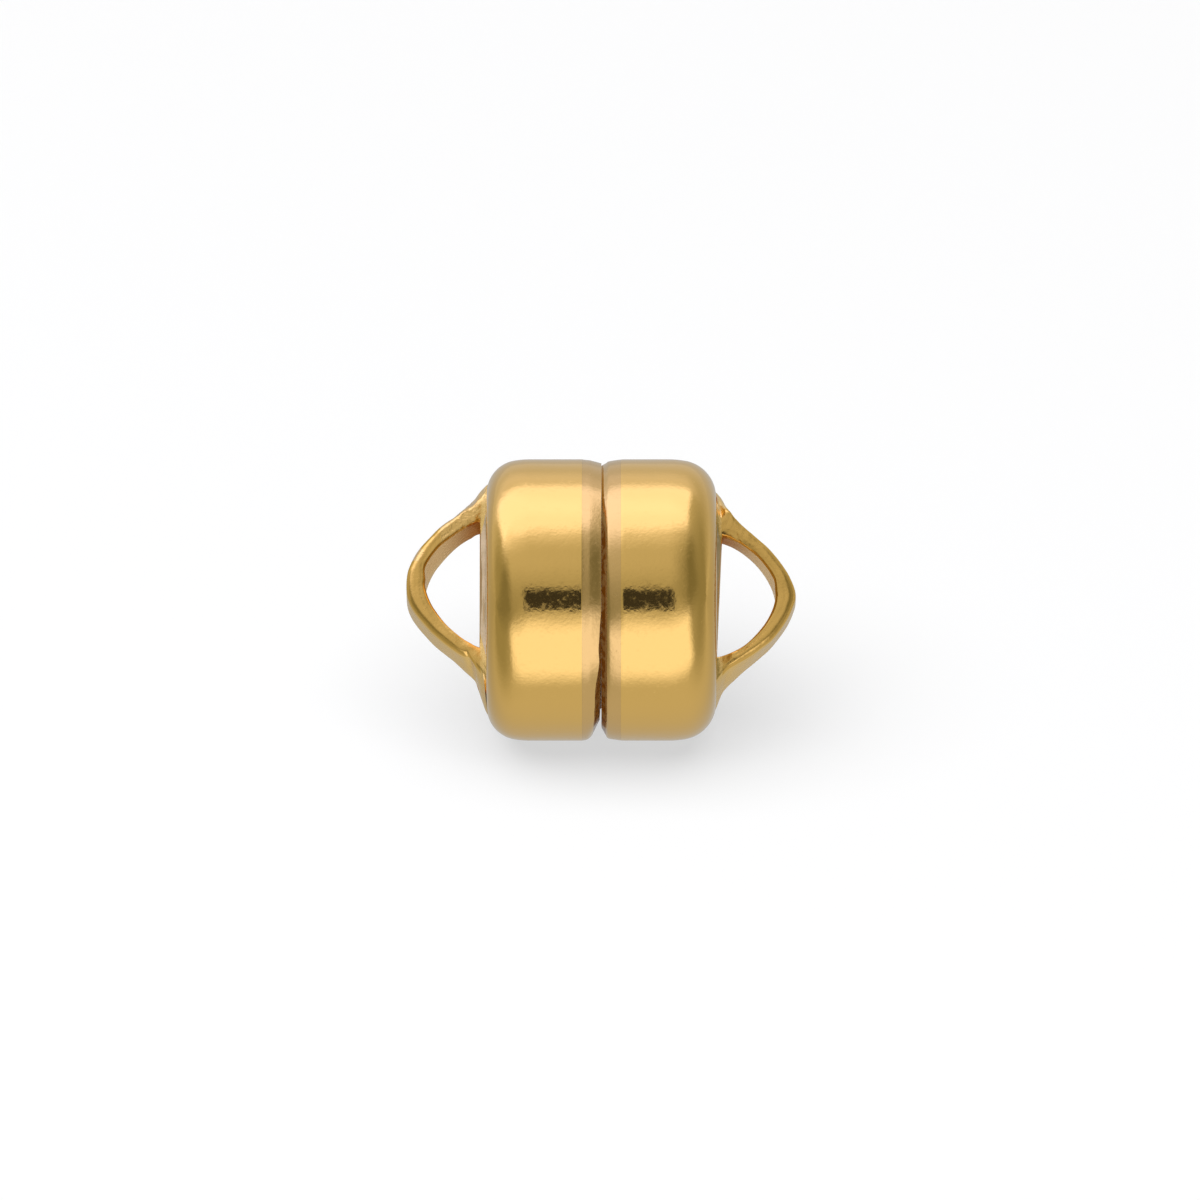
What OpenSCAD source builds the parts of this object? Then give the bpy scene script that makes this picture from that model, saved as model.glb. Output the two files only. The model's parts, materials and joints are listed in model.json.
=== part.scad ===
// Round magnetic clasp of polished gold, closed and lying on its side, in millimetres.
// Each half is a cup with a triangular eye soldered to its closed end, a closing ring pressed
// into its mouth, and a magnet disc behind the ring. +X runs along the clasp's axis from the
// left half to the right one, +Z is up, and the origin is on the axis where the halves meet.

/* [Body] */
// Outer diameter of both cups
body_d = 6; // [5:0.1:8]
// Length of one half, from the mouth to the closed end
half_l = 2.39; // [2:0.01:4]
// Radius of the rounding round the closed end
shoulder_r = 0.8; // [0.5:0.05:1]
// Thickness of the cup's side wall
wall = 0.25; // [0.2:0.01:0.35]
// Thickness of the cup's closed end
end_wall = 0.3; // [0.25:0.01:0.5]

/* [Mouth] */
// Gap between the two closing rings while the magnets hold
mouth_gap = 0.1; // [0.04:0.01:0.3]
// Length of the long taper at the left half's mouth
left_lip_l = 0.53; // [0.45:0.01:0.6]
// How far that taper falls below the cup's side
left_lip_drop = 0.16; // [0.1:0.01:0.22]
// Length of the short rounding at the right half's mouth
right_lip_l = 0.38; // [0.32:0.01:0.6]
// How far that rounding falls below the cup's side
right_lip_drop = 0.2; // [0.1:0.01:0.22]

/* [Closing rings] */
// Width of the left ring's visible band
left_band_w = 0.42; // [0.3:0.01:0.5]
// Width of the right ring's visible band
right_band_w = 0.3; // [0.25:0.01:0.5]
// Length of the sleeve that each ring pushes into its cup
sleeve_l = 0.5; // [0.3:0.05:0.8]
// Wall of that sleeve
sleeve_wall = 0.21; // [0.15:0.01:0.3]

/* [Magnets] */
// Distance between the two magnet faces while the clasp is closed
magnet_gap = 0.03; // [0.02:0.01:0.04]
// Depth of the glue bed behind each magnet
bed_t = 0.12; // [0.05:0.01:0.3]
// Bevel round the edges of each magnet
magnet_bevel = 0.2; // [0.1:0.05:0.3]

/* [Eyes] */
// How far each eye stands out from the closed end
eye_out = 1.71; // [1.5:0.01:2.5]
// Width of the strap that the eye is bent from, across its hole
strap_w = 0.9; // [0.6:0.05:1.2]
// Thickness of the strap at the tip of the eye
strap_t = 0.41; // [0.3:0.01:0.5]
// Outer radius of the eye's rounded tip
tip_r = 1.1; // [0.9:0.05:1.2]
// Distance in from the cup's side to where the outside of an arm meets the closed end
foot_inset = 0.97; // [0.9:0.01:1.2]
// Thickness of each arm's foot, measured along the closed end
foot_t = 0.73; // [0.6:0.01:0.85]
// Thickness of the base strip that lies against the closed end
base_t = 0.15; // [0.1:0.01:0.25]
// Radius of the solder fillet outside each foot
foot_fillet = 0.6; // [0.3:0.05:0.7]
// Turn of the left eye about the clasp's axis, from level
left_eye_turn = 40.5; // [-90:0.5:90]
// Turn of the right eye about the clasp's axis, from level
right_eye_turn = 47.5; // [-90:0.5:90]
// How far off centre the left eye is soldered, along its own height
left_eye_shift = 0.21; // [0:0.01:0.25]

/* [Clearances] */
// Clearance between pieces that fit into each other
fit = 0.02; // [0.01:0.005:0.03]

/* [Hidden] */
$fn = 96;

body_r = body_d / 2;
cavity_r = body_r - wall;
cavity_l = half_l - end_wall;
cavity_corner_r = shoulder_r - end_wall;
sleeve_r = cavity_r - fit;
ring_bore_r = sleeve_r - sleeve_wall;
magnet_r = ring_bore_r - fit;
magnet_proud = (mouth_gap - magnet_gap) / 2;
magnet_t = magnet_proud + cavity_l - bed_t;

// The eye, seen square-on: x runs out from the closed end and y along the eye's height
foot_y = body_r - foot_inset;
tip_x = eye_out - tip_r;
arm_angle = atan2(foot_y, tip_x) - asin(tip_r / norm([tip_x, foot_y]));
hole_y = foot_y - foot_t;
root_depth = end_wall * 0.6;
fillet_y = foot_y + foot_fillet * (1 - sin(arm_angle)) / cos(arm_angle);

// Section of one half: the radius runs along x and the distance from the mouth along y
module half_section(lip_l, lip_drop) {
    lip_r = (lip_l * lip_l + lip_drop * lip_drop) / (2 * lip_drop);
    intersection() {
        square([body_r, half_l]);
        union() {
            translate([0, lip_l]) square([body_r, half_l]);
            square([body_r - lip_r, half_l]);
            translate([body_r - lip_r, lip_l]) circle(lip_r);
        }
        rounded_end(body_r, half_l, shoulder_r);
    }
}

// Section of a plug with one rounded end
module rounded_end(r, l, corner_r) {
    square([r, l - corner_r]);
    square([r - corner_r, l]);
    translate([r - corner_r, l - corner_r]) circle(corner_r);
}

// Turns a section about the clasp's axis and puts its mouth beside the meeting plane
module turned() {
    translate([mouth_gap / 2, 0, 0]) rotate([0, 90, 0]) rotate_extrude() children();
}

// Triangle with a rounded tip, from x_from out to x_tip, whose arms lean in at arm_angle
module rounded_vee(x_from, x_tip) {
    touch_x = x_tip - tip_r + tip_r * sin(arm_angle);
    touch_y = tip_r * cos(arm_angle);
    base_y = touch_y + (touch_x - x_from) * tan(arm_angle);
    translate([x_tip - tip_r, 0]) circle(tip_r);
    polygon([[touch_x, touch_y], [x_from, base_y], [x_from, -base_y], [touch_x, -touch_y]]);
}

// Solder fillet on the outside of one foot
module solder_fillet() {
    run = (fillet_y - foot_y);
    difference() {
        polygon([
            [-root_depth, 0],
            [-root_depth, fillet_y],
            [0, fillet_y],
            [foot_fillet, fillet_y],
            [run * cos(arm_angle), foot_y - run * sin(arm_angle)],
        ]);
        translate([foot_fillet, fillet_y]) circle(foot_fillet);
    }
}

// Outline of the eye with its triangular hole and its base strip
module eye_outline() {
    difference() {
        union() {
            intersection() {
                rounded_vee(-root_depth, eye_out);
                translate([-root_depth, -fillet_y]) square([root_depth + eye_out, 2 * fillet_y]);
            }
            solder_fillet();
            mirror([0, 1]) solder_fillet();
        }
        intersection() {
            rounded_vee(base_t, eye_out - strap_t);
            translate([base_t, -hole_y]) square([eye_out, 2 * hole_y]);
        }
    }
}

module eye(turn, shift) {
    translate([mouth_gap / 2 + half_l, 0, 0])
        rotate([turn, 0, 0])
            translate([0, shift, 0])
                linear_extrude(strap_w, center = true)
                    eye_outline();
}

// One gold cup with its eye soldered on, as a single solid
module cup(lip_l, lip_drop, band_w, eye_turn, eye_shift) {
    turned()
        difference() {
            half_section(lip_l, lip_drop);
            square([body_r, band_w + fit]);
            rounded_end(cavity_r, cavity_l, cavity_corner_r);
        }
    eye(eye_turn, eye_shift);
}

// One closing ring: a band at the mouth and a sleeve inside the cup
module closing_ring(lip_l, lip_drop, band_w) {
    turned()
        difference() {
            union() {
                intersection() {
                    half_section(lip_l, lip_drop);
                    square([body_r, band_w]);
                }
                square([sleeve_r, band_w + sleeve_l]);
            }
            square([ring_bore_r, half_l]);
        }
}

// One magnet disc with bevelled edges
module magnet_disc() {
    translate([magnet_gap / 2, 0, 0])
        rotate([0, 90, 0])
            rotate_extrude()
                polygon([
                    [0, 0],
                    [magnet_r - magnet_bevel, 0],
                    [magnet_r, magnet_bevel],
                    [magnet_r, magnet_t - magnet_bevel],
                    [magnet_r - magnet_bevel, magnet_t],
                    [0, magnet_t],
                ]);
}

module left_cup() {
    color([0.83, 0.67, 0.36])
        mirror([1, 0, 0]) cup(left_lip_l, left_lip_drop, left_band_w, left_eye_turn, left_eye_shift);
}

module left_rim() {
    color([0.85, 0.66, 0.5])
        mirror([1, 0, 0]) closing_ring(left_lip_l, left_lip_drop, left_band_w);
}

module left_magnet() {
    color([0.72, 0.71, 0.69])
        mirror([1, 0, 0]) magnet_disc();
}

module right_cup() {
    color([0.83, 0.67, 0.36])
        cup(right_lip_l, right_lip_drop, right_band_w, right_eye_turn, 0);
}

module right_rim() {
    color([0.85, 0.66, 0.5])
        closing_ring(right_lip_l, right_lip_drop, right_band_w);
}

module right_magnet() {
    color([0.72, 0.71, 0.69])
        magnet_disc();
}

left_cup();
left_rim();
left_magnet();
right_cup();
right_rim();
right_magnet();
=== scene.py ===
import json
import math

import bmesh
import bpy
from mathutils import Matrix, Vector, noise


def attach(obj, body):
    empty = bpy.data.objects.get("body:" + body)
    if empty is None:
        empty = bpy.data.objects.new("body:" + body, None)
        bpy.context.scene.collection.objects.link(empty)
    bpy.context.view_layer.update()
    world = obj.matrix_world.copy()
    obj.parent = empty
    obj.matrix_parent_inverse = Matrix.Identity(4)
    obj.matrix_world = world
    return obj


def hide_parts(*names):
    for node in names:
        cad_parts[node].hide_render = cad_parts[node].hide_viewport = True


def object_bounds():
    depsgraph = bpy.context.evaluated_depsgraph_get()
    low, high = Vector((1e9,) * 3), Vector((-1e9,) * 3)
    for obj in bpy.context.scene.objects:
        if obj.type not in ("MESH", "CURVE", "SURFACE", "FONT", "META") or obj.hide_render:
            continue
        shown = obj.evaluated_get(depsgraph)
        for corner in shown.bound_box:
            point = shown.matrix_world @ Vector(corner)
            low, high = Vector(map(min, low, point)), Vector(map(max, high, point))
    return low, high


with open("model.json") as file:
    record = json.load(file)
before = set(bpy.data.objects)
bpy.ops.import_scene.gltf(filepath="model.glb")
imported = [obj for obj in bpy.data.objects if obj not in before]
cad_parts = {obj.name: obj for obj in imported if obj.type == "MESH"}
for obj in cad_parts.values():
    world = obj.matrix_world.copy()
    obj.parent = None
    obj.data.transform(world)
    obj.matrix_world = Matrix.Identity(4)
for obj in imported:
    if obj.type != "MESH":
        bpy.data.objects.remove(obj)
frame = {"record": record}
cad_low, cad_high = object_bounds()

# The picture: a long lens looks along +Y and down at the clasp from 30 degrees above the floor,
# from far enough away that its ends show no perspective.
MM = 0.001
camera_distance = 350 * MM
camera_elevation = math.radians(30)
picture_width = 25.54 * MM
aim = Vector((-0.03 * MM, 0, 0))
away = Vector((0, -math.cos(camera_elevation), math.sin(camera_elevation)))

camera_data = bpy.data.cameras.new("camera")
camera_data.sensor_width = 36
camera_data.lens = camera_data.sensor_width * camera_distance / picture_width
camera_data.clip_start = 10 * MM
camera_data.clip_end = 5000 * MM
camera = bpy.data.objects.new("camera", camera_data)
camera.location = aim + camera_distance * away
camera.rotation_euler = away.to_track_quat("Z", "Y").to_euler()
bpy.context.scene.collection.objects.link(camera)
bpy.context.scene.camera = camera
bpy.context.scene.view_settings.view_transform = "Standard"


# The floor: a plain white tabletop that the clasp lies on. It is lit from above by one large
# soft lamp, to the front and left, so the shadow is a soft patch that leans to the back and right.
floor_half = 1000 * MM
floor_mesh = bpy.data.meshes.new("floor")
corners = [(-1, -1), (1, -1), (1, 1), (-1, 1)]
floor_mesh.from_pydata([(x * floor_half, y * floor_half, cad_low.z) for x, y in corners], [], [(0, 1, 2, 3)])
floor = bpy.data.objects.new("floor", floor_mesh)
bpy.context.scene.collection.objects.link(floor)
white = bpy.data.materials.new("white_tabletop")
white.use_nodes = True
white.node_tree.nodes["Principled BSDF"].inputs["Base Color"].default_value = (0.9, 0.9, 0.9, 1)
white.node_tree.nodes["Principled BSDF"].inputs["Roughness"].default_value = 0.9
floor_mesh.materials.append(white)
floor.visible_glossy = False

lamp_data = bpy.data.lights.new("overhead_lamp", "AREA")
lamp_data.shape = "ELLIPSE"
lamp_data.size = 1000 * MM
lamp_data.size_y = 650 * MM
lamp_data.energy = 2.3
lamp = bpy.data.objects.new("overhead_lamp", lamp_data)
lamp.location = (-160 * MM, -160 * MM, 500 * MM)
lamp.visible_glossy = False
bpy.context.scene.collection.objects.link(lamp)


# What the polished metal reflects: a pale tent with a soft box overhead, a bright tabletop in
# front, darker walls on both sides, and the small dark opening where the camera stands. Directions
# are in degrees: up from the front over the top, and sideways towards +X.
world = bpy.data.worlds.new("studio")
bpy.context.scene.world = world
world.use_nodes = True
world.cycles.sampling_method = "NONE"


def group_socket(tree, name, where, value=None, kind="NodeSocketFloat"):
    socket = tree.interface.new_socket(name, in_out=where, socket_type=kind)
    if value is not None:
        socket.default_value = value


def math_node(tree, operation, *values):
    """A Math node; each value is a number or another node's output."""
    node = tree.nodes.new("ShaderNodeMath")
    node.operation = operation
    for socket, value in zip(node.inputs, values):
        if isinstance(value, (int, float)):
            socket.default_value = value
        else:
            tree.links.new(value, socket)
    return node.outputs[0]


def make_soft_edge():
    """Node group: 1 on one side of a straight edge among the directions, 0 on the other."""
    tree = bpy.data.node_groups.new("soft_edge", "ShaderNodeTree")
    for name in ("Up", "Sideways", "Up Weight", "Sideways Weight", "Distance"):
        group_socket(tree, name, "INPUT", 0.0)
    group_socket(tree, "Softness", "INPUT", 10.0)
    group_socket(tree, "Mask", "OUTPUT")
    given = tree.nodes.new("NodeGroupInput").outputs
    up_part = math_node(tree, "MULTIPLY", given["Up"], given["Up Weight"])
    sideways_part = math_node(tree, "MULTIPLY", given["Sideways"], given["Sideways Weight"])
    inside = math_node(tree, "SUBTRACT", math_node(tree, "ADD", up_part, sideways_part), given["Distance"])
    fade = tree.nodes.new("ShaderNodeMapRange")
    fade.interpolation_type = "SMOOTHSTEP"
    tree.links.new(inside, fade.inputs["Value"])
    tree.links.new(math_node(tree, "MULTIPLY", given["Softness"], -0.5), fade.inputs["From Min"])
    tree.links.new(math_node(tree, "MULTIPLY", given["Softness"], 0.5), fade.inputs["From Max"])
    out = tree.nodes.new("NodeGroupOutput")
    tree.links.new(fade.outputs["Result"], out.inputs["Mask"])
    return tree


tent_light = 0.72
tent_blue = 1.03
tent_on_floor = 0.65
brightest = 2.5

# name: (corners as (up, sideways), softness, brightness, blue)
patches = {
    "back_wall": ([(127, 18), (67, -50), (168, -49), (147, 39)], 16, 0.92, 1.19),
    "floor_below": ([(-128, 125), (-93, -135), (-188, -134), (-170, 121)], 100, 0.50, 0.97),
    "ceiling": ([(76, -28), (91, -58), (106, -40), (94, 19)], 33, 1.40, 1.31),
    "camera_side": ([(31, 29), (1, -27), (49, -27), (42, 52)], 34, 0.49, 0.93),
    "right_wall": ([(-39, 14), (-30, 8), (139, 26), (179, 23), (99, 145), (-91, 62)], 80, 0.36, 0.83),
    "right_wall_dark": ([(8, 22), (72, 11), (98, 38), (28, 71), (57, 81)], 34, 0.26, 0.78),
    "left_wall": ([(-50, -19), (77, -36), (86, -39), (230, -79), (-132, -136)], 56, 0.41, 0.83),
    "left_wall_dark": ([(13, -17), (61, -37), (76, -56), (-8, -93)], 32, 0.28, 0.79),
    "front_table": ([(-29, 39), (21, 30), (3, -30), (-40, -13)], 20, 1.43, 1.23),
    "overhead_box": ([(96, 21), (138, 23), (139, -50), (109, -50), (85, -14)], 12, 1.55, 1.38),
    "overhead_box_end": ([(109, 15), (157, -48), (119, -54), (91, -48)], 14, 1.66, 1.42),
    "opening": ([(22, 7), (39.5, 6), (39, -7), (21.5, -6)], 4, 0.055, 1.12),
}
tree = world.node_tree
tree.nodes.clear()
direction = tree.nodes.new("ShaderNodeTexCoord").outputs["Generated"]
parts = tree.nodes.new("ShaderNodeSeparateXYZ")
tree.links.new(direction, parts.inputs[0])
forward = math_node(tree, "MULTIPLY", parts.outputs["Y"], -1)
up = math_node(tree, "DEGREES", math_node(tree, "ARCTAN2", parts.outputs["Z"], forward))
sideways = math_node(tree, "DEGREES", math_node(tree, "ARCSINE", parts.outputs["X"]))
soft_edge = make_soft_edge()
tint = tree.nodes.new("ShaderNodeRGB")
tent_share = tent_light / brightest
tint.outputs[0].default_value = (tent_share, tent_share, tent_blue * tent_share, 1)
colour = tint.outputs[0]
for patch, (corners, softness, bright, blue) in patches.items():
    middle = sum((Vector(corner) for corner in corners), Vector((0, 0))) / len(corners)
    mask = None
    for a, b in zip(corners, corners[1:] + corners[:1]):
        along = (Vector(b) - Vector(a)).normalized()
        inward = Vector((-along.y, along.x))
        if inward.dot(middle - Vector(a)) < 0:
            inward.negate()
        edge = tree.nodes.new("ShaderNodeGroup")
        edge.node_tree = soft_edge
        edge.label = patch
        tree.links.new(up, edge.inputs["Up"])
        tree.links.new(sideways, edge.inputs["Sideways"])
        edge.inputs["Up Weight"].default_value = inward.x
        edge.inputs["Sideways Weight"].default_value = inward.y
        edge.inputs["Distance"].default_value = inward.dot(Vector(a))
        edge.inputs["Softness"].default_value = softness
        if mask is None:
            mask = edge.outputs["Mask"]
        else:
            mask = math_node(tree, "MULTIPLY", mask, edge.outputs["Mask"])
    mix = tree.nodes.new("ShaderNodeMix")
    mix.data_type = "RGBA"
    tree.links.new(mask, mix.inputs["Factor"])
    tree.links.new(colour, mix.inputs["A"])
    share = bright / brightest
    mix.inputs["B"].default_value = (share, share, blue * share, 1)
    colour = mix.outputs["Result"]
reflected = tree.nodes.new("ShaderNodeBackground")
reflected.inputs["Strength"].default_value = brightest
tree.links.new(colour, reflected.inputs["Color"])
tent = tree.nodes.new("ShaderNodeBackground")
tent.inputs["Color"].default_value = (1, 1, 1, 1)
seen = tree.nodes.new("ShaderNodeLightPath")
tent_strength = math_node(tree, "MAXIMUM", seen.outputs["Is Camera Ray"], tent_on_floor)
tree.links.new(tent_strength, tent.inputs["Strength"])
which = tree.nodes.new("ShaderNodeMixShader")
tree.links.new(seen.outputs["Is Glossy Ray"], which.inputs["Fac"])
tree.links.new(tent.outputs[0], which.inputs[1])
tree.links.new(reflected.outputs[0], which.inputs[2])
world_out = tree.nodes.new("ShaderNodeOutputWorld")
tree.links.new(which.outputs[0], world_out.inputs["Surface"])


# The two cups with their eyes: yellow gold, spun to a cup with a rounded closed end and polished by
# hand. Each has a triangular eye soldered to that end, so cup and eye are one solid. From here on
# sizes are in millimetres, along the axis from the plane where the halves meet.
body_r = min(-cad_low.y, -cad_low.z, cad_high.y, cad_high.z) / MM
end_x = 2.44
wall = 0.25
end_wall = 0.3
seam_gap = 0.001
seam = 0.41
seam_drop = {"left": 0.002, "right": 0.006}
taper_start = {"left": 0.43, "right": 0.5}
shoulder_r = {"left": 0.702, "right": 0.787}
easing_r = {"left": 1.96, "right": 2.13}
easing_angle = 10
end_face_rings = (0, 0.5, 1.0, 1.5, 1.9)
inner_corner_r = 0.5
side_sign = {"left": -1, "right": 1}
turns = 360
crisp_above = 32


def arc(centre, radius, start, end, steps):
    """Points on an arc from start to end, in degrees."""
    for i in range(steps + 1):
        angle = math.radians(start + (end - start) * i / steps)
        yield (centre[0] + radius * math.cos(angle), centre[1] + radius * math.sin(angle))


def line(a, b, steps):
    """Points from a to b, without a itself."""
    for i in range(1, steps + 1):
        yield (a[0] + (b[0] - a[0]) * i / steps, a[1] + (b[1] - a[1]) * i / steps)


def mesh_object(name, vertices, faces):
    """A mesh object in millimetres, with its faces turned outward."""
    mesh = bpy.data.meshes.new(name)
    mesh.from_pydata(vertices, [], faces)
    work = bmesh.new()
    work.from_mesh(mesh)
    bmesh.ops.recalc_face_normals(work, faces=work.faces)
    work.to_mesh(mesh)
    work.free()
    made = bpy.data.objects.new(name, mesh)
    bpy.context.scene.collection.objects.link(made)
    return made


def lathe(name, section_at, sign, closed=False):
    """Turns a section of (distance from the meeting plane, radius) about the clasp's axis.

    section_at gives the section at an angle in degrees, from the top towards the front.
    An open section starts and ends on the axis.
    """
    sections = [section_at(360 * i / turns) for i in range(turns)]
    vertices, rings = [], []
    for at in zip(*sections):
        if at[0][1] == 0:
            rings.append([len(vertices)] * turns)
            vertices.append((sign * at[0][0], 0, 0))
            continue
        rings.append(list(range(len(vertices), len(vertices) + turns)))
        for i, (x, r) in enumerate(at):
            angle = 2 * math.pi * i / turns
            vertices.append((sign * x, -r * math.sin(angle), r * math.cos(angle)))
    faces = []
    for a, b in zip(rings, rings[1:] + rings[:1] if closed else rings[1:]):
        for i in range(turns):
            j = (i + 1) % turns
            corners = [a[i], a[j], b[j], b[i]]
            corners = list(dict.fromkeys(corners))
            if len(corners) > 2:
                faces.append(corners)
    return mesh_object(name, vertices, faces)


def cup_section(side):
    """Outside from the closed end's centre to the seam, then inside back to the axis."""
    mouth = seam + seam_gap
    r_end = shoulder_r[side]
    r_ease = easing_r[side]
    ease = math.radians(easing_angle)
    meet = (end_x - r_end + r_end * math.sin(ease), body_r - r_ease * (1 - math.cos(ease)))
    end_centre = (end_x - r_end, meet[1] - r_end * math.cos(ease))
    ease_centre = (meet[0] - r_ease * math.sin(ease), body_r - r_ease)
    outside = [(end_x, r) for r in end_face_rings]
    outside += arc(end_centre, r_end, 0, 90 - easing_angle, 36)
    outside += list(arc(ease_centre, r_ease, 90 - easing_angle, 90, 8))[1:]
    outside += line(outside[-1], (taper_start[side], body_r), 6)
    fall = seam_drop[side]
    run = taper_start[side] - mouth
    outside += [(taper_start[side] - run * t, body_r - fall * t * t) for t in (0.25, 0.5, 0.75, 1.0)]
    floor_x = end_x - end_wall
    inner_r = body_r - wall
    corner = (floor_x - inner_corner_r, inner_r - inner_corner_r)
    inside = [(mouth, inner_r)]
    inside += arc(corner, inner_corner_r, 90, 0, 10)
    inside += [(floor_x, 0)]
    return outside + inside


def finish_mesh(made, sharp_above):
    """Scales the mesh from millimetres to metres and sets which of its edges stay crisp."""
    for vertex in made.data.vertices:
        vertex.co *= MM
    made.data.shade_smooth()
    made.data.set_sharp_from_angle(angle=math.radians(sharp_above))


def make_hand_polish():
    """Node group: the faint orange peel, fine dimples and hair scratches of hand polished gold."""
    tree = bpy.data.node_groups.new("hand_polish", "ShaderNodeTree")
    group_socket(tree, "Peel", "INPUT", 1.0)
    group_socket(tree, "Dimples", "INPUT", 1.0)
    group_socket(tree, "Scratches", "INPUT", 1.0)
    group_socket(tree, "Roughness", "INPUT", 0.1)
    group_socket(tree, "Height", "OUTPUT")
    group_socket(tree, "Roughness", "OUTPUT")
    given = tree.nodes.new("NodeGroupInput").outputs
    place = tree.nodes.new("ShaderNodeTexCoord").outputs["Object"]

    def noise_of(size_mm, detail, stretch=(1, 1, 1)):
        scaled = tree.nodes.new("ShaderNodeVectorMath")
        scaled.operation = "MULTIPLY"
        tree.links.new(place, scaled.inputs[0])
        scaled.inputs[1].default_value = [s / (size_mm * MM) for s in stretch]
        texture = tree.nodes.new("ShaderNodeTexNoise")
        texture.inputs["Scale"].default_value = 1
        texture.inputs["Detail"].default_value = detail
        tree.links.new(scaled.outputs[0], texture.inputs["Vector"])
        return texture.outputs["Fac"]

    peel = math_node(tree, "MULTIPLY", noise_of(0.9, 2), given["Peel"])
    dimples = math_node(tree, "MULTIPLY", noise_of(0.07, 2), given["Dimples"])
    hair = noise_of(0.05, 2, (1, 0.06, 0.06))
    hair = math_node(tree, "SUBTRACT", hair, 0.62)
    hair = math_node(tree, "MAXIMUM", hair, 0)
    hair = math_node(tree, "MULTIPLY", hair, given["Scratches"])
    height = math_node(tree, "SUBTRACT", math_node(tree, "ADD", peel, dimples), hair)
    smear = math_node(tree, "MULTIPLY", math_node(tree, "SUBTRACT", noise_of(0.5, 3), 0.5), 0.08)
    haze = math_node(tree, "MAXIMUM", math_node(tree, "SUBTRACT", noise_of(0.09, 2), 0.5), 0)
    smear = math_node(tree, "ADD", smear, math_node(tree, "MULTIPLY", haze, 0.7))
    out = tree.nodes.new("NodeGroupOutput")
    tree.links.new(height, out.inputs["Height"])
    tree.links.new(math_node(tree, "ADD", given["Roughness"], smear), out.inputs["Roughness"])
    return tree


hand_polish = make_hand_polish()


def polished_metal(name, colour, peel, dimples, scratches, roughness):
    """A hand polished metal. Peel, dimples and scratches are heights in micrometres."""
    material = bpy.data.materials.new(name)
    material.use_nodes = True
    tree = material.node_tree
    metal = tree.nodes["Principled BSDF"]
    metal.inputs["Base Color"].default_value = (*colour, 1)
    metal.inputs["Metallic"].default_value = 1
    polish = tree.nodes.new("ShaderNodeGroup")
    polish.node_tree = hand_polish
    polish.inputs["Peel"].default_value = peel
    polish.inputs["Dimples"].default_value = dimples
    polish.inputs["Scratches"].default_value = scratches
    polish.inputs["Roughness"].default_value = roughness
    bump = tree.nodes.new("ShaderNodeBump")
    bump.inputs["Distance"].default_value = 1e-6
    tree.links.new(polish.outputs["Height"], bump.inputs["Height"])
    tree.links.new(polish.outputs["Roughness"], metal.inputs["Roughness"])
    tree.links.new(bump.outputs["Normal"], metal.inputs["Normal"])
    return material


yellow_gold = polished_metal("yellow_gold", (0.765, 0.487, 0.133), 10.0, 1.9, 2.0, 0.07)
cups = {}
for side in ("left", "right"):
    section = cup_section(side)
    cups[side] = lathe(f"{side}_gold_cup", lambda degrees: section, side_sign[side])


# The eyes are flat strap, bent to a triangle round an arched hole, then hammered and filed. Their
# whole base and two spread feet are soldered to the cup, and the solder has left lumps there.
eye_w = 0.9
toe_depth = 0.03

# Each arm from the tip to the toe of its foot: (out from the closed end, away from the middle).
eye_outline = {
    "left": {
        "upper": [(1.71, 0), (1.66, 0.42), (1.5, 0.8), (1.1, 1.27), (0.67, 1.665), (0.34, 2.12), (0.16, 2.41),
                  (0.05, 2.72), (-toe_depth, 2.95)],
        "lower": [(1.71, 0), (1.66, 0.38), (1.45, 0.74), (1.07, 1.175), (0.69, 1.495), (0.39, 1.79),
                  (0.2, 1.99), (0.1, 2.33), (-toe_depth, 2.8)],
    },
    "right": {
        "upper": [(1.695, 0), (1.64, 0.26), (1.45, 0.63), (1.17, 0.995), (0.81, 1.34), (0.43, 1.68),
                  (0.25, 2.01), (0.12, 2.34), (-toe_depth, 2.65)],
        "lower": [(1.695, 0), (1.65, 0.2), (1.5, 0.53), (1.23, 0.91), (0.93, 1.21), (0.6, 1.51), (0.3, 1.79),
                  (0.1, 2.04), (-toe_depth, 2.45)],
    },
}

# Length, half height and fullness of each hole.
eye_hole = {"left": (1.31, 1.45, 1.55), "right": (1.26, 1.32, 1.65)}

# The base strip between hole and cup, and how far it leans towards the upper arm.
base_t = {"left": 0.15, "right": 0.073}
base_tilt = {"left": 0, "right": 0.044}

# How far the hole's face leans, and how far and from what height the feet are filed off in front.
arm_slant = {("left", "upper"): 0.11, ("right", "upper"): 0.05}
foot_bevel = {
    ("left", "upper"): (0.9, 0.95), ("left", "lower"): (0.75, 0.8),
    ("right", "upper"): (0.85, 0.45), ("right", "lower"): (0.5, 1.3),
}

# The feet hug the cup: past this distance from the clasp's axis they are held back softly.
foot_reach = 2.6
foot_fade = 0.22
hug_from = 0.1
hug_until = 0.5
root_depth = 0.1

# Rounded edges of the strap. The left upper arm has an outer edge that is deeper than it is wide.
edge_share = 0.7
least_flat = 0.03
strap_edge_r = 0.06
strap_outer_r = 0.17
deep_edge = {("left", "upper"): 2.1}
deep_edge_r = 0.25
foot_edge_r = 0.13
base_edge_r = 0.1
strap_crown = 0.02

# Hand work: how the solder spreads at the feet, wobble, hammer streaks and solder lumps.
foot_flare = 0.03
flare_height = 0.1
hand_wobble = 0.012
wobble_scale = 2.6
hammer_streaks = 0.014
streaks_across = 6
streaks_along = 0.7
solder_lumps = 0.007
rough_lumps = 0.013
lump_scale = 8
lumps_from = (1.1, 1.4)
lumps_below = (0.55, 0.9)

# Without a seed the wobble would start from the clock, and come out differently each time.
wobble_seed = 2
noise.seed_set(wobble_seed)

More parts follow.
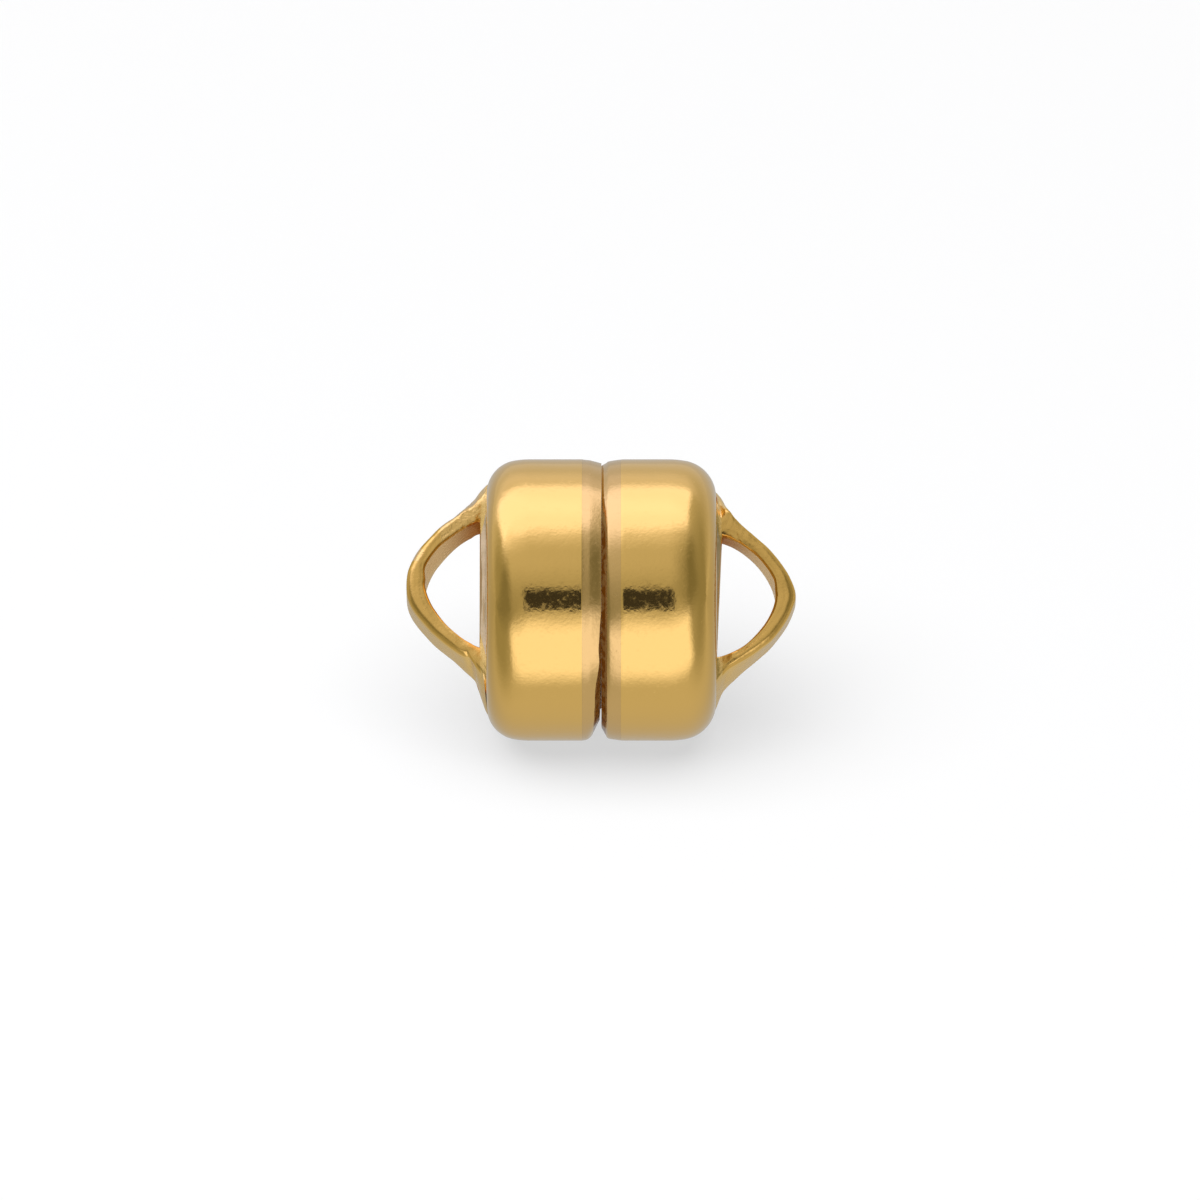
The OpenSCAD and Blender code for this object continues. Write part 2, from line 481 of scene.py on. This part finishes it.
# Where the finish of the strap changes: near the cup, on the base strip, and on the left upper arm.
matt_near_cup = 0.12
pale_base = 1.05
rough_foot = (0.45, 1.5)
rough_spot = (0.16, 0.26)


def shoulder_x(side, r):
    """How far from the meeting plane the cup's closed end lies, at a distance r from the axis."""
    r_end = shoulder_r[side]
    ease_drop = easing_r[side] * (1 - math.cos(math.radians(easing_angle)))
    centre_r = body_r - ease_drop - r_end * math.cos(math.radians(easing_angle))
    beyond = min(max(r - centre_r, 0), 0.95 * r_end)
    return end_x - r_end + math.sqrt(r_end ** 2 - beyond ** 2)


def smooth_rise(value, low, high):
    """0 below low, 1 above high, and a smooth rise between them."""
    t = min(max((value - low) / (high - low), 0), 1)
    return t * t * (3 - 2 * t)


def smooth_curve(points, steps):
    """Points on a smooth curve through the given ones, square to the x axis where it starts."""
    first = (points[1][0], -points[1][1])
    last = tuple(2 * b - a for a, b in zip(points[-2], points[-1]))
    padded = [first, *points, last]
    curve = [points[0]]
    for four in zip(padded, padded[1:], padded[2:], padded[3:]):
        for i in range(1, steps + 1):
            t = i / steps
            curve.append(tuple(
                b + 0.5 * t * (c - a + t * (2 * a - 5 * b + 4 * c - d + t * (3 * (b - c) + d - a)))
                for a, b, c, d in zip(*four)
            ))
    return curve


def spaced_along(points, count):
    """This many points, evenly spaced along the line through the given ones."""
    lengths = [0]
    for a, b in zip(points, points[1:]):
        lengths.append(lengths[-1] + math.dist(a, b))
    spaced = []
    at = 0
    for i in range(count):
        target = lengths[-1] * i / (count - 1)
        while at < len(points) - 2 and lengths[at + 1] < target:
            at += 1
        share = (target - lengths[at]) / (lengths[at + 1] - lengths[at])
        spaced.append(tuple(a + (b - a) * share for a, b in zip(points[at], points[at + 1])))
    return spaced


def eye_half(side, arm):
    """Stations over one arm and back to the middle of the base.

    Each is (inside point, outside point, slant of the inner face, bevel of the outer face, inner edge
    radius, outer edge radius, depth of the outer edge over its radius, share). The share runs from 0
    at the tip to 1 at the foot, and on to 2 at the middle of the base.
    """
    way = 1 if arm == "upper" else -1
    length, height, fullness = eye_hole[side]
    hole = []
    for i in range(361):
        angle = math.radians(i / 4)
        x = length * math.cos(angle) ** (2 / fullness)
        y = height * math.sin(angle) ** (2 / fullness)
        hole.append((x, y))
        if x < base_t[side] + base_tilt[side] * way * y:
            break
    arm_count = 72
    inner = spaced_along(hole, arm_count)
    outer = spaced_along(smooth_curve(eye_outline[side][arm], 10), arm_count)
    stations = []
    for i, (a, b) in enumerate(zip(inner, outer)):
        share = i / (arm_count - 1)
        slant = arm_slant.get((side, arm), 0) * smooth_rise(share, 0.03, 0.2)
        slant *= 1 - smooth_rise(share, 0.4, 0.85)
        inner_edge = strap_edge_r + (base_edge_r - strap_edge_r) * smooth_rise(share, 0.85, 1)
        outer_edge = strap_outer_r + (foot_edge_r - strap_outer_r) * smooth_rise(share, 0.6, 0.92)
        deep, reach = foot_bevel[side, arm]
        bevel = deep * max(1 - max(b[0], 0) / reach, 0) ** 2
        deeper = (deep_edge.get((side, arm), 1) - 1) * smooth_rise(share, 0.05, 0.25)
        deeper *= 1 - smooth_rise(share, 0.8, 1)
        if deeper > 0:
            outer_edge += (deep_edge_r - outer_edge) * min(deeper, 1)
        stations.append((a, b, slant, bevel, inner_edge, outer_edge, 1 + deeper, share))
    base_count = 24
    corner = inner[-1]
    slant, bevel = stations[-1][2:4]
    for i in range(1, base_count + 1):
        y = corner[1] * (1 - i / base_count)
        x = base_t[side] + base_tilt[side] * way * y
        toe = outer[-1][1] * (1 - i / base_count)
        depth = root_depth * smooth_rise(i, 0, 3) + toe_depth * (1 - smooth_rise(i, 0, 3))
        fade = 1 - smooth_rise(i, 0, 4)
        share = 1 + i / base_count
        edges = (base_edge_r, foot_edge_r, 1)
        stations.append(((x, y), (-depth, toe), slant * fade, bevel * fade, *edges, share))
    return [((a[0], way * a[1]), (b[0], way * b[1]), *rest) for a, b, *rest in stations]


def rounded_bar(half_t, half_w, inner_edge, outer_edge, outer_depth):
    """Section of the strap: (across its thickness, across its width), its hole side at -half_t."""
    inner_r = min(inner_edge, edge_share * half_t)
    outer_r = min(outer_edge, (edge_share + 0.5 * (outer_depth - 1)) * half_t)
    outer_depth = min(outer_depth, (half_w - least_flat) / outer_r)
    points = []
    for quarter, (sx, sy) in enumerate([(1, 1), (-1, 1), (-1, -1), (1, -1)]):
        if sx > 0:
            edge_r, other_r, deep = outer_r, inner_r, outer_depth
        else:
            edge_r, other_r, deep = inner_r, outer_r, 1
        for x, y in arc((0, 0), edge_r, 90 * quarter, 90 * quarter + 90, 7):
            points.append((sx * (half_t - edge_r) + x, sy * (half_w - deep * edge_r) + deep * y))
        for step in range(1, 8):
            t = step / 8
            if quarter % 2 == 0:
                points.append((sx * ((half_t - edge_r) * (1 - t) - (half_t - other_r) * t), sy * half_w))
            else:
                points.append((sx * half_t, sy * (half_w - deep * edge_r) * (1 - 2 * t)))
    return [(p, q + math.copysign(strap_crown * (1 - (p / half_t) ** 2), q)) for p, q in points]


def eye_finish(side, share, height, x, i, quarter):
    """The finish of one face of the strap.

    Its share along the arm and its height from the eye's middle are those of its station, and x is
    its distance from the meeting plane. The faces are counted round the strap in four quarters:
    front, hole side, back and outer side. Each quarter starts with its rounded corner.
    """
    if share > 1 and abs(height) < pale_base:
        return pale_solder
    if i < 2 or i >= 3 * quarter or x < end_x + matt_near_cup:
        return matt_gold
    if side == "left" and height > 0:
        if rough_foot[0] < share < rough_foot[1] and i < quarter + 7:
            return rough_solder
        if rough_spot[0] < share < rough_spot[1] and i < 8:
            return rough_solder
    # The hole side gets corner_gold, whose colour holds painted shade near the cup and a painted pale sheen
    # further out.
    if quarter + 7 <= i < 2 * quarter + 1:
        return corner_gold
    return filed_gold


def make_eye(side, mount):
    """The eye as a closed strap, lofted through sections that run round its hole.

    Its feet hug the rounded closed end of the cup and stop on its shoulder. There the solder has
    spread and left lumps.
    """
    sign = side_sign[side]
    out = Vector((sign, 0, 0))
    width_way = Vector(mount["axis"])
    height_way = Vector((0, width_way.z, -width_way.y))
    start = Vector(mount["pos_m"]) / MM
    start = Vector((sign * end_x, start.y, start.z))
    stations = eye_half(side, "upper")
    stations += eye_half(side, "lower")[-2:0:-1]
    vertices, faces, finishes = [], [], []
    for a, b, slant, bevel, inner_edge, outer_edge, outer_depth, share in stations:
        a, b = Vector(a), Vector(b)
        half_t = (b - a).length / 2
        across = (b - a).normalized()
        section = rounded_bar(half_t, eye_w / 2, inner_edge, outer_edge, outer_depth)
        for p, q in section:
            hammered = Vector((p * streaks_across, a.y * streaks_along, sign * a.x * streaks_along))
            streak = noise.noise(hammered) * hammer_streaks
            outward = 0.5 + p / (2 * half_t)
            forward = min(max(0.5 + q / eye_w, 0), 1)
            p += slant * (1 - outward) * smooth_rise(forward, 0, 1) - bevel * outward * forward
            at = (a + b) / 2 + across * p
            spread = foot_flare * max(1 - max(at.x, 0) / flare_height, 0) ** 2
            q += math.copysign(streak + spread, q)
            point = start + out * at.x + height_way * at.y + width_way * q
            r = math.hypot(point.y, point.z)
            if r > foot_reach:
                held_r = foot_reach + foot_fade * (1 - math.exp((foot_reach - r) / foot_fade))
                point = Vector((point.x, point.y * held_r / r, point.z * held_r / r))
                r = held_r
            sink = shoulder_x(side, r) - end_x
            point += out * sink * (1 - smooth_rise(at.x, hug_from, hug_until))
            soldered = smooth_rise(abs(at.y), *lumps_from) * (1 - smooth_rise(at.x, *lumps_below))
            wobble = noise.noise_vector(point * wobble_scale) * hand_wobble
            lumps = rough_lumps if side == "left" and a.y > 0 else solder_lumps
            wobble += noise.noise_vector(point * lump_scale) * lumps * soldered
            vertices.append(point + Vector((0, wobble.y, wobble.z)))
    count = len(section)
    for station, (a, b, *rest, share) in enumerate(stations):
        here = station * count
        there = (station + 1) % len(stations) * count
        for i in range(count):
            j = (i + 1) % count
            faces.append((here + i, here + j, there + j, there + i))
            finish = eye_finish(side, share, a[1], abs(vertices[here + i].x), i, count // 4)
            finishes.append(gold_finishes.index(finish))
    eye = mesh_object(f"{side}_eye", vertices, faces)
    eye.data.polygons.foreach_set("material_index", finishes)
    return eye


def join_solids(keep, other):
    """Unites two closed meshes into one solid and removes the second object."""
    union = keep.modifiers.new("solder", "BOOLEAN")
    union.operation = "UNION"
    union.solver = "EXACT"
    union.object = other
    bpy.context.view_layer.update()
    ready = keep.evaluated_get(bpy.context.evaluated_depsgraph_get())
    keep.modifiers.clear()
    united = bpy.data.meshes.new_from_object(ready)
    united.name = keep.name
    keep.data = united
    bpy.data.objects.remove(other)


filed_gold = polished_metal("filed_gold", (0.74, 0.455, 0.118), 12.0, 3.6, 3.0, 0.17)
filed_gold.node_tree.nodes["Principled BSDF"].inputs["Specular Tint"].default_value = (0.9, 0.78, 0.45, 1)
rough_solder = polished_metal("rough_solder", (0.78, 0.5, 0.16), 20.0, 11.0, 4.0, 0.14)
pale_solder = polished_metal("pale_solder", (0.7, 0.54, 0.32), 6.0, 3.0, 2.0, 0.3)
matt_gold = polished_metal("matt_gold", (0.84, 0.565, 0.19), 12.0, 3.6, 3.0, 0.22)
corner_gold = polished_metal("corner_gold", (0.74, 0.455, 0.118), 12.0, 3.0, 3.0, 0.22)
corner_shader = corner_gold.node_tree.nodes["Principled BSDF"]
corner_shader.inputs["Specular IOR Level"].default_value = 0.1
corner_shader.inputs["Specular Tint"].default_value = (0.65, 0.4, 0.14, 1)
# The hole's faces get painted shade, dark brown where they run into the cup, and a painted pale sheen further
# out. Both are only partly metallic.
corner_painted_shade = (0.34, 0.11, 0.006)
corner_painted_sheen = (0.8, 0.6, 0.33)
sheen_metallic = 0.45
shade_until = 0.05
sheen_from = 1.1


def paint_corner_shade_and_sheen(material, sheen_colour, dark):
    """Painted shade, dark brown where the hole's faces run into the cup, and a painted pale sheen further
    out.
    """
    tree = material.node_tree
    place = tree.nodes.new("ShaderNodeTexCoord").outputs["Object"]
    parts = tree.nodes.new("ShaderNodeSeparateXYZ")
    tree.links.new(place, parts.inputs[0])
    out = math_node(tree, "ABSOLUTE", parts.outputs["X"])
    shade_to_sheen = tree.nodes.new("ShaderNodeMapRange")
    shade_to_sheen.interpolation_type = "SMOOTHSTEP"
    tree.links.new(out, shade_to_sheen.inputs["Value"])
    shade_to_sheen.inputs["From Min"].default_value = (end_x + shade_until) * MM
    shade_to_sheen.inputs["From Max"].default_value = (end_x + sheen_from) * MM
    mix = tree.nodes.new("ShaderNodeMix")
    mix.data_type = "RGBA"
    tree.links.new(shade_to_sheen.outputs["Result"], mix.inputs["Factor"])
    mix.inputs["A"].default_value = (*dark, 1)
    mix.inputs["B"].default_value = (*sheen_colour, 1)
    tree.links.new(mix.outputs["Result"], tree.nodes["Principled BSDF"].inputs["Base Color"])
    tree.nodes["Principled BSDF"].inputs["Metallic"].default_value = sheen_metallic


# Paints the shade and the pale sheen into the hole's faces.
paint_corner_shade_and_sheen(corner_gold, corner_painted_sheen, corner_painted_shade)

mounts = {mount["name"]: mount for mount in frame["record"]["mounts"]}
bodies = {"left": "left_half", "right": "right_half"}
gold_finishes = [yellow_gold, filed_gold, rough_solder, pale_solder, corner_gold, matt_gold]
for side in ("left", "right"):
    cup = cups[side]
    eye = make_eye(side, mounts[f"{side}_eye"])
    for made in (cup, eye):
        for finish in gold_finishes:
            made.data.materials.append(finish)
    join_solids(cup, eye)
    finish_mesh(cup, crisp_above)
    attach(cup, bodies[side])
    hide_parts(f"{side}_cup")
    cup.visible_diffuse = False


# The two closing rings: a rosier gold, turned with a band at the mouth and a sleeve that is pressed
# into the cup. The left band tapers in two steps; the right one is filed back to a steep inner bevel.
# Their lips were trued up by hand, so the gap between them is ragged and opens towards the floor.
ring_bore_r = 2.52
sleeve_r = 2.73
sleeve_end = {"left": 0.97, "right": 0.85}
bore_edge = 0.03
meeting_gap = 0.0004
lip_face_depth = 0.445
lip_middle_r = 2.6
ragged_scale = 2.4
ragged_apart = 0.7

# Each band from the seam to the lip: (distance from the meeting plane, depth below the cup's side).
lip = {
    "left": [(0.41, 0.002), (0.39, 0.005), (0.34, 0.011), (0.29, 0.016), (0.255, 0.02), (0.235, 0.0235),
             (0.2, 0.032), (0.1, 0.058), (0, 0.085)],
    "right": [(0.41, 0.006), (0.3, 0.02), (0.2, 0.036), (0.15, 0.046), (0.122, 0.06), (0.104, 0.086),
              (0.077, 0.138), (0.044, 0.198), (0.012, 0.258), (meeting_gap, 0.283)],
}

# The left lip is filed back in steps: how far, and between which angles each step grows.
left_filed = [(0.006, 0, 30), (0.055, 62, 82), (0.075, 84, 106), (0.065, 106, 150)]
left_ragged = 0.02
right_filed = 0.012

# Towards the floor the left band is also rounded off, from this distance and this strongly.
rounded_from = 0.36
rounded_rate = 3.3


def lip_wear(side, degrees):
    """How far the lip is filed back, at the angle from the top towards the front."""
    a = math.radians(degrees)
    at = Vector((math.cos(a), math.sin(a), side_sign[side] * ragged_apart)) * lip_middle_r
    ragged = noise.fractal(at * ragged_scale, 1.0, 2.0, 6)
    if side == "right":
        return right_filed * max(0.5 + 0.7 * ragged, 0) * smooth_rise(degrees, 0, 40)
    wear = 0
    for depth, start, end in left_filed:
        wear += depth * smooth_rise(degrees, start, end)
    wear *= 1 - smooth_rise(degrees, 180, 262)
    return max(wear + left_ragged * ragged * smooth_rise(wear, 0.005, 0.04), meeting_gap)


def left_drop(x, degrees):
    """How far the left band lies below the cup's surface, at a distance from the meeting plane."""
    rounded = smooth_rise(degrees, 118, 146) * (1 - smooth_rise(degrees, 190, 240))
    rounded *= rounded_rate * max(rounded_from - x, 0) ** 2
    for (x1, drop1), (x2, drop2) in zip(lip["left"], lip["left"][1:]):
        if x >= x2:
            return drop1 + (drop2 - drop1) * (x1 - x) / (x1 - x2) + rounded


def left_mouth(degrees):
    """The left ring's mouth at one angle: its band down to the filed lip, then the lip's face."""
    wear = lip_wear("left", degrees)
    fixed = [x for x, drop in lip["left"][:6]]
    worn = [fixed[-1] + (wear - fixed[-1]) * share for share in (0.25, 0.5, 0.75, 1)]
    points = [(x, left_drop(x, degrees)) for x in fixed + worn]
    edge = points[-1][1]
    for share in (0.1, 0.3, 0.5, 0.75, 1):
        x = max(wear * (1 - 0.65 * share) - 0.03 * share, meeting_gap)
        points.append((x, edge + (lip_face_depth - edge) * share))
    return points


def right_mouth(degrees):
    """The right ring's mouth at one angle: its band and a steep bevel that closes up at the top."""
    wear = lip_wear("right", degrees)
    opening = smooth_rise(degrees, 2, 38) * (1 - smooth_rise(degrees, 200, 260))
    points = []
    for x, drop in lip["right"]:
        if x < 0.2:
            lost = (1 - opening) * smooth_rise(drop, 0.07, 0.14) * max(x - meeting_gap, 0)
            x += wear * (1 - smooth_rise(x, 0.02, 0.2)) * (1 - smooth_rise(drop, 0.1, 0.27)) - lost
        points.append((x, drop))
    return points


def ring_section(side, degrees):
    """The ring's whole section at one angle: mouth, bore, sleeve and the step behind the band."""
    if degrees > 270:
        degrees -= 360
    mouth = left_mouth(degrees) if side == "left" else right_mouth(degrees)
    section = [(x, body_r - drop) for x, drop in mouth]
    lip_x = section[-1][0]
    section += [(lip_x, ring_bore_r + bore_edge), (lip_x + bore_edge, ring_bore_r)]
    return section + [(sleeve_end[side], ring_bore_r), (sleeve_end[side], sleeve_r), (seam, sleeve_r)]


rose_colour = (0.665, 0.43, 0.15)
# Painted shade in the gap between the rings: dark brown and less metallic, deep below the cup's side and
# close to the meeting plane, fading out towards the top.
gap_painted_shade = (0.13, 0.038, 0.003)
shade_below_side = (0.14, 0.06)
shade_beside_gap = (0.16, 0.2)
shade_fade_heights = (2.45, 2.8)
shade_dulls = 0.92
rose_gold = polished_metal("rose_gold", rose_colour, 8.0, 2.0, 2.0, 0.11)
rose_gold.node_tree.nodes["Principled BSDF"].inputs["Specular IOR Level"].default_value = 0.05


def paint_gap_shade(material, colour, dark):
    """Painted shade deep in the gap between the rings: dark brown and less metallic, fading out towards the
    top.
    """
    tree = material.node_tree
    place = tree.nodes.new("ShaderNodeTexCoord").outputs["Object"]
    parts = tree.nodes.new("ShaderNodeSeparateXYZ")
    tree.links.new(place, parts.inputs[0])

    def fade(value, low, high):
        ramp = tree.nodes.new("ShaderNodeMapRange")
        ramp.interpolation_type = "SMOOTHSTEP"
        tree.links.new(value, ramp.inputs["Value"])
        ramp.inputs["From Min"].default_value = low * MM
        ramp.inputs["From Max"].default_value = high * MM
        return ramp.outputs["Result"]

    from_middle = math_node(tree, "ABSOLUTE", parts.outputs["X"])
    square_y = math_node(tree, "POWER", parts.outputs["Y"], 2.0)
    square_z = math_node(tree, "POWER", parts.outputs["Z"], 2.0)
    radius = math_node(tree, "SQRT", math_node(tree, "ADD", square_y, square_z))
    below_side = [body_r - depth for depth in shade_below_side]
    deep = math_node(tree, "SUBTRACT", 1, fade(radius, *below_side))
    near = math_node(tree, "SUBTRACT", 1, fade(from_middle, *shade_beside_gap))
    low = math_node(tree, "SUBTRACT", 1, fade(parts.outputs["Z"], *shade_fade_heights))
    speckle = tree.nodes.new("ShaderNodeTexNoise")
    speckle.inputs["Scale"].default_value = 7 / MM
    speckle.inputs["Detail"].default_value = 3
    tree.links.new(place, speckle.inputs["Vector"])
    patchy = math_node(tree, "MULTIPLY", math_node(tree, "SUBTRACT", speckle.outputs["Fac"], 0.3), 5)
    patchy = math_node(tree, "MINIMUM", math_node(tree, "MAXIMUM", patchy, 0.85), 1)
    gap_shade_amount = math_node(tree, "MULTIPLY", math_node(tree, "MULTIPLY", deep, near), low)
    gap_shade_amount = math_node(tree, "MULTIPLY", gap_shade_amount, patchy)
    mix = tree.nodes.new("ShaderNodeMix")
    mix.data_type = "RGBA"
    tree.links.new(gap_shade_amount, mix.inputs["Factor"])
    mix.inputs["A"].default_value = (*colour, 1)
    mix.inputs["B"].default_value = (*dark, 1)
    tree.links.new(mix.outputs["Result"], tree.nodes["Principled BSDF"].inputs["Base Color"])
    bare = math_node(tree, "SUBTRACT", 1, math_node(tree, "MULTIPLY", gap_shade_amount, shade_dulls))
    tree.links.new(bare, tree.nodes["Principled BSDF"].inputs["Metallic"])


# Paints the shade into the gap between the rings.
paint_gap_shade(rose_gold, rose_colour, gap_painted_shade)
for side in ("left", "right"):
    name = f"{side}_rose_ring"
    ring = lathe(name, lambda degrees: ring_section(side, degrees), side_sign[side], closed=True)
    finish_mesh(ring, crisp_above)
    ring.data.materials.append(rose_gold)
    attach(ring, bodies[side])
    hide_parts(f"{side}_rim")
    ring.visible_diffuse = False


# The two magnets: sintered discs with bright nickel plating, bevelled at the edges and glued into
# the cups behind the closing rings. Only a sliver shows while the clasp is closed.
magnet_r = 2.5
magnet_face = 0.0003
magnet_back = 2.02
magnet_bevel = 0.2
magnet_face_rings = (0, 0.8, 1.6)
magnet_body = {"left": "left_half", "right": "right_magnet_link"}

nickel = polished_metal("nickel_plating", (0.6, 0.56, 0.5), 2.0, 0.5, 1.5, 0.22)
for side in ("left", "right"):
    section = [(magnet_face, r) for r in magnet_face_rings]
    section += [(magnet_face, magnet_r - magnet_bevel), (magnet_face + magnet_bevel, magnet_r)]
    section += [(magnet_back - magnet_bevel, magnet_r), (magnet_back, magnet_r - magnet_bevel)]
    section += [(magnet_back, 0)]
    magnet = lathe(f"{side}_nickel_magnet", lambda degrees: section, side_sign[side])
    finish_mesh(magnet, crisp_above)
    magnet.data.materials.append(nickel)
    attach(magnet, magnet_body[side])
    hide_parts(f"{side}_magnet")
    magnet.visible_diffuse = False
